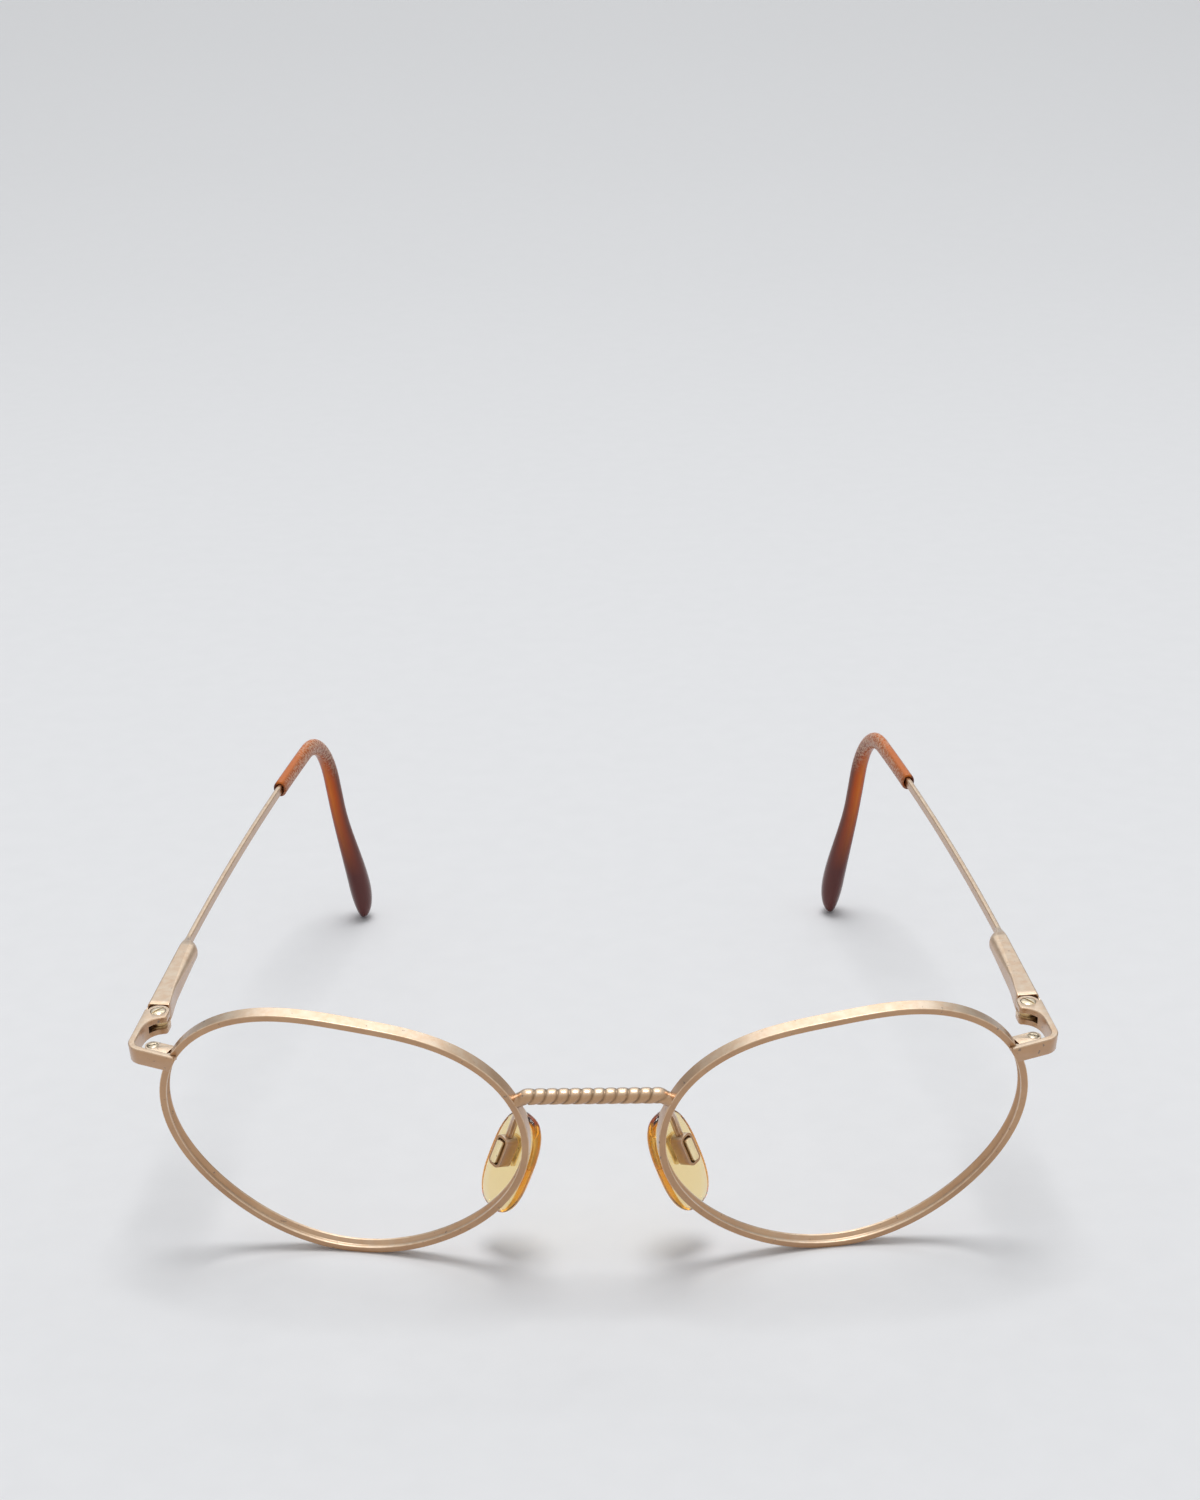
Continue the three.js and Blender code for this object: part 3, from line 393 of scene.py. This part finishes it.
def temples(material):
    """Each temple runs from its spring box, with the lip, to the part of its bar inside the sleeve."""
    distances = steps(BOX_FRONT + BOX_BEVEL, NARROWING[0], BOX_RINGS)
    distances += steps(*NARROWING, NARROWING_RINGS)[1:]
    distances += steps(NARROWING[1], TIP_AT + BAR_REACH, BAR_RINGS)[1:]
    box = [bar_ring(BOX_FRONT, BOX_BEVEL)] + [bar_ring(distance) for distance in distances]
    bar = ([ring for ring, marks in box], [marks for ring, marks in box])
    lip = ([lip_ring(SEAM + FOLD_GAP), lip_ring(BOX_FRONT + EDGE_ROUND)], None)
    for side, mirror in SIDES.items():
        place = (f"{side}_temple", "gold_metal", f"{side}_arm")
        piece(f"{side}_temple_bar", [bar, lip], mirror, material, *place)


# Temple tips


def tip_ring(distance, inset=0.0, points=40):
    """The sleeve is slim round the bend, widens down the drop and closes in a round nose."""
    widen = smooth(distance, DROP_AT + TIP_SLIM, TIP_NOSE_AT)
    nose = max(distance - TIP_NOSE_AT, 0) / TIP_NOSE
    round_off = math.sqrt(1 - min(nose, NOSE_LIMIT) ** 2)
    neck = mix(TIP_MOUTH[0], TIP_NECK, smooth(distance, BEND_AT, DROP_AT))
    width = mix(neck, TIP_END[0], widen) * round_off / 2 - inset
    height = mix(TIP_MOUTH[1], TIP_END[1], widen**2) * round_off / 2 - inset
    middle = BAR_THICKNESS / 2 - OUTER_FACE
    middle += (TIP_END[0] - TIP_MOUTH[0]) * TIP_BULGE * widen * round_off
    place = temple_frame(distance)
    ring = []
    for i in range(points):
        angle = 2 * math.pi * i / points
        ring.append(place @ Vector((middle + width * math.cos(angle), height * math.sin(angle), 0)))
    return ring


def tips(material):
    """Each sleeve starts at its open mouth and ends in its nose."""
    rings = [tip_ring(TIP_AT + TIP_MOUTH_DEPTH, TIP_WALL), tip_ring(TIP_AT + TIP_LIP, TIP_WALL)]
    rings += [tip_ring(TIP_AT, TIP_WALL - TIP_LIP), tip_ring(TIP_AT, TIP_LIP)]
    rings += [tip_ring(distance) for distance in steps(TIP_AT + 2 * TIP_LIP, TIP_NOSE_AT, TIP_RINGS)]
    for i in range(1, NOSE_RINGS + 1):
        rings.append(tip_ring(TIP_NOSE_AT + TIP_NOSE * math.sin(math.pi / 2 * i / NOSE_RINGS)))
    for side, mirror in SIDES.items():
        place = (f"{side}_temple_tip", "amber_plastic", f"{side}_arm")
        piece(f"{side}_tip_sleeve", [(rings, None)], mirror, material, *place)


# Nose pads


def pad_ring(radius, height, points=56):
    """A ring between round and square, at shares of the pad's half width and half thickness."""
    ring = []
    power = PAD_SQUARENESS
    for i in range(points):
        angle = 2 * math.pi * i / points
        swell = (abs(math.cos(angle)) ** power + abs(math.sin(angle)) ** power) ** (-1 / power)
        y = radius * swell * PAD_WIDTH / 2 * math.cos(angle)
        z = radius * swell * PAD_LENGTH / 2 * math.sin(angle)
        ring.append(PAD @ Vector((height * PAD_THICKNESS / 2, y, z)))
    return ring


def pads(material):
    """Each pad is domed towards the nose and flat towards its box."""
    nose_face = [(0.02, -1), (0.35, -0.985), (0.6, -0.95), (0.76, -0.87), (0.88, -0.75)]
    edge = [(0.945, -0.57), (0.98, -0.35), (0.995, -0.08), (1, 0.2), (0.995, 0.46)]
    edge += [(0.98, 0.7), (0.95, 0.88)]
    box_face = [(0.9, 1), (0.6, 1), (0.02, 1)]
    rings = [pad_ring(radius, height) for radius, height in nose_face + edge + box_face]
    for side, mirror in SIDES.items():
        place = (f"{side}_nose_pad", "clear_amber", f"{side}_pad")
        piece(f"{side}_pad_lens", [(rings, None)], mirror, material, *place)


# Materials


def material_tree(name):
    material = bpy.data.materials.new(name)
    material.use_nodes = True
    return material, material.node_tree, material.node_tree.nodes["Principled BSDF"]


def plug(tree, node, key, value):
    """A node's input gets a link from another node or a plain value."""
    if isinstance(value, bpy.types.NodeSocket):
        tree.links.new(value, node.inputs[key])
    else:
        node.inputs[key].default_value = value


def add(tree, kind, inputs, **settings):
    node = tree.nodes.new(kind)
    for key, value in settings.items():
        setattr(node, key, value)
    for key, value in inputs.items():
        plug(tree, node, key, value)
    return node


def noise(tree, coordinates, scale, detail=3.0):
    inputs = {"Vector": coordinates, "Scale": scale, "Detail": detail}
    return add(tree, "ShaderNodeTexNoise", inputs).outputs["Fac"]


def spread(tree, value, low, high, out_low=0.0, out_high=1.0):
    inputs = {"Value": value, "From Min": low, "From Max": high, "To Min": out_low, "To Max": out_high}
    return add(tree, "ShaderNodeMapRange", inputs).outputs["Result"]


def ramp(tree, value, low, high, stops):
    """A colour for each share of the way from low to high."""
    node = add(tree, "ShaderNodeValToRGB", {"Fac": spread(tree, value, low, high)})
    bands = node.color_ramp
    bands.elements.remove(bands.elements[1])
    for i, (share, colour) in enumerate(stops):
        band = bands.elements.new(share) if i else bands.elements[0]
        band.position = share
        band.color = (*colour, 1) if isinstance(colour, tuple) else (colour, colour, colour, 1)
    return node.outputs["Color"]


def times(tree, *values):
    product = values[0]
    for value in values[1:]:
        product = add(tree, "ShaderNodeMath", {0: product, 1: value}, operation="MULTIPLY").outputs[0]
    return product


def blend(tree, share, first, second):
    """Two colours, each a socket or three numbers, mixed by a share."""
    node = add(tree, "ShaderNodeMix", {0: share}, data_type="RGBA")
    for key, colour in ((6, first), (7, second)):
        plug(tree, node, key, (*colour, 1) if isinstance(colour, tuple) else colour)
    return node.outputs[2]


def bump(tree, shader, height, strength, distance):
    inputs = {"Height": height, "Strength": strength, "Distance": distance}
    plug(tree, shader, "Normal", add(tree, "ShaderNodeBump", inputs).outputs["Normal"])


def metal(name, colour, cloud, roughness, lacquer=1.0, grain=0.25):
    """Plated metal with a blasted grain, grooves darker as dirt and painted shade, edges paler as wear
    and a painted highlight, and upward faces paler as a painted highlight.
    """
    material, tree, shader = material_tree(name)
    coordinates = add(tree, "ShaderNodeTexCoord", {}).outputs
    where = coordinates["Object"]
    upward = add(tree, "ShaderNodeSeparateXYZ", {"Vector": coordinates["Normal"]}).outputs["Z"]
    relief = add(tree, "ShaderNodeAttribute", {}, attribute_name="relief").outputs["Fac"]
    patches = spread(tree, noise(tree, where, METAL_PATCHES), 0.3, 0.65, 0.5, 1)
    fine = noise(tree, where, METAL_GRAIN, 2)
    # Rounded edges are painted paler: wear, and a painted highlight along each edge
    wear_and_sheen = times(tree, spread(tree, relief, 0.1, 1, 0, 0.7), patches)
    # Grooves are darker: dirt, and painted shade in the recesses
    dirt_and_shade = times(tree, spread(tree, relief, -0.15, -0.9, 0, 0.9), patches)
    # Faces that turn upwards are painted paler: a painted highlight from the lamps above
    painted_top_highlight = times(tree, spread(tree, upward, 0.4, 0.9, 0, 0.75), patches)
    specks = spread(tree, noise(tree, where, METAL_SPECKS, 2), 0.68, 0.74, 0, 0.8)
    clouds = spread(tree, noise(tree, where, METAL_CLOUDS), 0.35, 0.7)
    tone = blend(tree, clouds, colour, cloud)
    tone = blend(tree, painted_top_highlight, tone, PAINTED_TOP_HIGHLIGHT_GOLD)
    tone = blend(tree, wear_and_sheen, tone, WEAR_AND_SHEEN_GOLD)
    tone = blend(tree, dirt_and_shade, tone, GROOVE_DIRT_AND_SHADE)
    tone = blend(tree, specks, tone, GROOVE_DIRT_AND_SHADE)
    plug(tree, shader, "Base Color", tone)
    plug(tree, shader, "Metallic", 1.0)
    dullness = spread(tree, fine, 0.3, 0.7, roughness - 0.06, roughness + 0.06)
    plug(tree, shader, "Roughness", dullness)
    plug(tree, shader, "Coat Weight", spread(tree, dirt_and_shade, 0, 1, lacquer, 0))
    plug(tree, shader, "Coat Roughness", 0.25)
    plug(tree, shader, "Coat IOR", 1.97)
    bump(tree, shader, fine, grain, 0.00003)
    return material


def amber():
    """An aged sleeve: orange, then red down its drop and burgundy at its end, with a pale crackle. Light
    through the plastic is painted: a bright streak and glow on its lit sides, painted shade on its far
    sides, and a painted sheen on the drop's inner side and on top of the bend.
    """
    material, tree, shader = material_tree("amber_sleeve")
    coordinates = add(tree, "ShaderNodeTexCoord", {})
    place = add(tree, "ShaderNodeSeparateXYZ", {"Vector": coordinates.outputs["UV"]}).outputs
    along, around = place["X"], place["Y"]
    where = coordinates.outputs["Object"]
    # Bands around the sleeve paint light through the plastic: a lit orange streak on top of the arm, a
    # painted glow down the front of the drop, painted shade on the far sides, and haze as a painted
    # sheen on the drop's inner side
    lit_orange, red, shaded_dark = (0.57, 0.14, 0.014), (0.54, 0.088, 0.008), (0.13, 0.025, 0.008)
    inside, haze, painted_glow = (0.42, 0.11, 0.025), (0.2, 0.058, 0.035), (0.72, 0.17, 0.012)
    arm_bands = [(0, inside), (0.13, inside), (0.19, lit_orange), (0.31, lit_orange), (0.38, shaded_dark)]
    arm_bands += [(0.7, shaded_dark), (1, inside)]
    drop_bands = [(0, haze), (0.1, shaded_dark), (0.53, shaded_dark), (0.62, red), (0.7, painted_glow), (0.8, red)]
    drop_bands += [(0.9, haze)]
    arm = ramp(tree, around, 0, 1, arm_bands)
    drop = ramp(tree, around, 0, 1, drop_bands)
    tone = blend(tree, spread(tree, along, 0.02, 0.034), arm, drop)
    tone = blend(tree, spread(tree, along, 0.037, 0.053), tone, SLEEVE_END)
    # Where the pale bloom shows: crackle on the arm's inner side, and at the bend also its top, where it
    # is a painted sheen
    side = ramp(tree, around, 0, 1, [(0, 1), (0.1, 1), (0.17, 0.1), (0.25, 0), (0.8, 0), (0.9, 1)])
    bend = ramp(tree, around, 0, 1, [(0, 1), (0.3, 1), (0.42, 0), (0.7, 0), (0.85, 1)])
    bare = blend(tree, spread(tree, along, 0.012, 0.018), side, bend)
    worn_and_sheen = ramp(tree, along, 0, 0.0625, [(0, 0), (0.05, 0.6), (0.25, 0.9), (0.42, 0.9), (0.54, 0)])
    crackle = spread(tree, noise(tree, where, CRACKS, 4), 0.46, 0.6)
    # Pale crackle, and a painted sheen on top of the bend
    bloom_and_sheen = times(tree, bare, worn_and_sheen, crackle)
    plug(tree, shader, "Base Color", blend(tree, bloom_and_sheen, tone, SLEEVE_BLOOM_AND_SHEEN))
    plug(tree, shader, "Roughness", spread(tree, bloom_and_sheen, 0, 1, 0.25, 0.45))
    plug(tree, shader, "IOR", 1.49)
    plug(tree, shader, "Specular IOR Level", 0.3)
    bump(tree, shader, crackle, 0.15, 0.00002)
    return material


def clear_amber():
    """Clear plastic that has yellowed: pale through its face, deep orange through its edges."""
    material, tree, shader = material_tree("clear_amber")
    where = add(tree, "ShaderNodeTexCoord", {}).outputs["Object"]
    smears = noise(tree, where, SMEARS)
    plug(tree, shader, "Base Color", (1, 1, 1, 1))
    plug(tree, shader, "Transmission Weight", 1.0)
    plug(tree, shader, "Roughness", spread(tree, smears, 0.35, 0.7, 0.02, 0.12))
    plug(tree, shader, "IOR", 1.45)
    bump(tree, shader, smears, 0.1, 0.00005)
    haze = add(tree, "ShaderNodeVolumeAbsorption", {"Color": PAD_TINT, "Density": PAD_DENSITY})
    tree.links.new(haze.outputs["Volume"], tree.nodes["Material Output"].inputs["Volume"])
    return material


# Carried-over solids


def dress(node, material, worn_and_sheen, bevel=0.06):
    """A solid keeps its shape and gets soft edges in a paler material, as wear and a painted highlight,
    and its own material.
    """
    solid = cad[node]
    solid.data.materials.clear()
    solid.data.materials.append(material)
    solid.data.materials.append(worn_and_sheen)
    if "custom_normal" in solid.data.attributes:
        solid.data.attributes.remove(solid.data.attributes["custom_normal"])
    for face in solid.data.polygons:
        face.use_smooth = True
    weld = solid.modifiers.new("weld", "WELD")
    weld.merge_threshold = WELD * MM
    edges = solid.modifiers.new("soft_edges", "BEVEL")
    edges.width = bevel * MM
    edges.segments = 2
    edges.limit_method = "ANGLE"
    edges.angle_limit = SHARP_EDGE
    edges.harden_normals = False
    # Bevelled edges get the second, paler material: wear, and a painted highlight along each edge
    edges.material = 1
    creases = solid.modifiers.new("creases", "EDGE_SPLIT")
    creases.split_angle = SHARP_EDGE


def shorten_spring(side):
    """The coil gets a mesh of its own."""
    coil = cad[f"{side}_hinge_spring"]
    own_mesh(coil)


# Studio


def floor():
    """A sheet of pale paper, flat under the object and swept up behind it, painted darker farther back
    as shade.
    """
    material, tree, shader = material_tree("paper")
    where = add(tree, "ShaderNodeTexCoord", {}).outputs["Object"]
    fibres = spread(tree, noise(tree, where, FIBRES, 6), 0.3, 0.7)
    near = blend(tree, fibres, PAPER, PAPER_FIBRE)
    depth = add(tree, "ShaderNodeSeparateXYZ", {"Vector": where}).outputs["Y"]
    # The paper is painted darker farther back: painted shade where less light reaches
    tone = blend(tree, spread(tree, depth, 0, 1.2), near, FAR_PAPER_SHADE)
    plug(tree, shader, "Base Color", tone)
    plug(tree, shader, "Roughness", 0.9)
    plug(tree, shader, "Specular IOR Level", 0.1)
    profile = [(PAPER_FRONT, 0), (SWEEP_AT, 0)]
    for angle in range(6, 84, 6):
        lift = math.radians(angle)
        rise = SWEEP_RADIUS * (1 - math.cos(lift))
        profile.append((SWEEP_AT + SWEEP_RADIUS * math.sin(lift), rise))
    points = [(x, y, z) for x in (-PAPER_HALF_WIDTH, PAPER_HALF_WIDTH) for y, z in profile]
    count = len(profile)
    data = bpy.data.meshes.new("paper")
    data.from_pydata(points, [], [(i, i + count, i + count + 1, i + 1) for i in range(count - 1)])
    data.materials.append(material)
    for face in data.polygons:
        face.use_smooth = True
    sweep = bpy.data.objects.new("paper", data)
    bpy.context.scene.collection.objects.link(sweep)


def lamp(name, at, size, watts):
    """A soft lamp aimed at the object: a disk for one size, a panel for two."""
    data = bpy.data.lights.new(name, "AREA")
    data.shape = "DISK" if len(size) == 1 else "RECTANGLE"
    data.size = size[0]
    data.size_y = size[-1]
    data.energy = watts
    holder = bpy.data.objects.new(name, data)
    holder.location = at
    holder.rotation_euler = (-Vector(at)).to_track_quat("-Z", "Y").to_euler()
    bpy.context.scene.collection.objects.link(holder)


def world():
    """Pale walls all around, dimmer as a source of light than they look."""
    studio = bpy.data.worlds.new("studio")
    studio.use_nodes = True
    tree = studio.node_tree
    rays = add(tree, "ShaderNodeLightPath", {}).outputs
    seen = rays["Is Camera Ray"]
    for kind in ("Is Glossy Ray", "Is Transmission Ray"):
        seen = add(tree, "ShaderNodeMath", {0: seen, 1: rays[kind]}, operation="MAXIMUM").outputs[0]
    background = tree.nodes["Background"]
    plug(tree, background, "Color", WALLS)
    plug(tree, background, "Strength", spread(tree, seen, 0, 1, 0.36, 1))
    bpy.context.scene.world = studio


def camera():
    """The view from in front and above, with a slight roll."""
    data = bpy.data.cameras.new("camera")
    data.sensor_fit = "VERTICAL"
    data.sensor_height = 36
    data.lens = 60
    data.clip_start = 0.01
    eye = bpy.data.objects.new("camera", data)
    flat = math.cos(PITCH)
    forward = Vector((math.sin(YAW) * flat, math.cos(YAW) * flat, -math.sin(PITCH)))
    level = Vector((math.cos(YAW), -math.sin(YAW), 0))
    above = level.cross(forward)
    right = level * math.cos(ROLL) + above * math.sin(ROLL)
    up = above * math.cos(ROLL) - level * math.sin(ROLL)
    eye.matrix_world = Matrix((right, up, -forward)).transposed().to_4x4()
    eye.location = CAMERA_AT
    bpy.context.scene.collection.objects.link(eye)
    bpy.context.scene.camera = eye


# The dressed frame

satin_gold = metal("satin_gold", (0.415, 0.2, 0.062), (0.47, 0.245, 0.088), 0.4)
rope_gold = metal("rope_gold", (0.43, 0.215, 0.07), (0.49, 0.26, 0.1), 0.32)
# Paler gold for bevelled edges: wear, and a painted highlight
wear_and_sheen_gold = metal("wear_and_sheen_gold", (0.80, 0.63, 0.43), (0.74, 0.55, 0.35), 0.34)
brown_gold = metal("brown_gold", (0.36, 0.155, 0.03), (0.42, 0.195, 0.05), 0.4)
bright_gold = metal("bright_gold", (0.98, 0.82, 0.50), (0.92, 0.75, 0.44), 0.32, lacquer=0.1, grain=0.08)
bright_steel = metal("bright_steel", (0.82, 0.72, 0.54), (0.66, 0.56, 0.40), 0.2, lacquer=0.1, grain=0.1)
dark_steel = metal("dark_steel", (0.05, 0.042, 0.03), (0.11, 0.09, 0.065), 0.3, lacquer=0.1, grain=0.15)

rims(satin_gold)
bridge(rope_gold)
temples(satin_gold)
tips(amber())
pads(clear_amber())
for side, mirror in SIDES.items():
    for node in ("endpiece", "pad_arm", "closing_block_upper", "closing_block_lower"):
        dress(f"{side}_{node}", satin_gold, wear_and_sheen_gold)
    for node in ("pad_lug", "hinge_carriage"):
        dress(f"{side}_{node}", bright_gold, wear_and_sheen_gold, bevel=0.04)
    dress(f"{side}_pad_box", brown_gold, wear_and_sheen_gold, bevel=0.08)
    dress(f"{side}_hinge_screw", bright_steel, bright_steel, bevel=0.03)
    for node in ("closing_screw", "hinge_spring", "spring_stop"):
        dress(f"{side}_{node}", dark_steel, bright_steel, bevel=0.02)
    shorten_spring(side)

floor()
world()
lamp("key", at=(0, 0.08, 2.1), size=(0.84,), watts=18.6)
lamp("ceiling", at=(0, -0.1, 2.2), size=(3.6, 3.0), watts=14.0)
lamp("back_strip", at=(0, 1.05, 1.47), size=(1.7, 0.36), watts=3.6)
lamp("back_panel", at=(0, 1.5, 1.05), size=(1.8, 0.7), watts=1.6)
camera()
bpy.context.scene.view_settings.view_transform = "Standard"
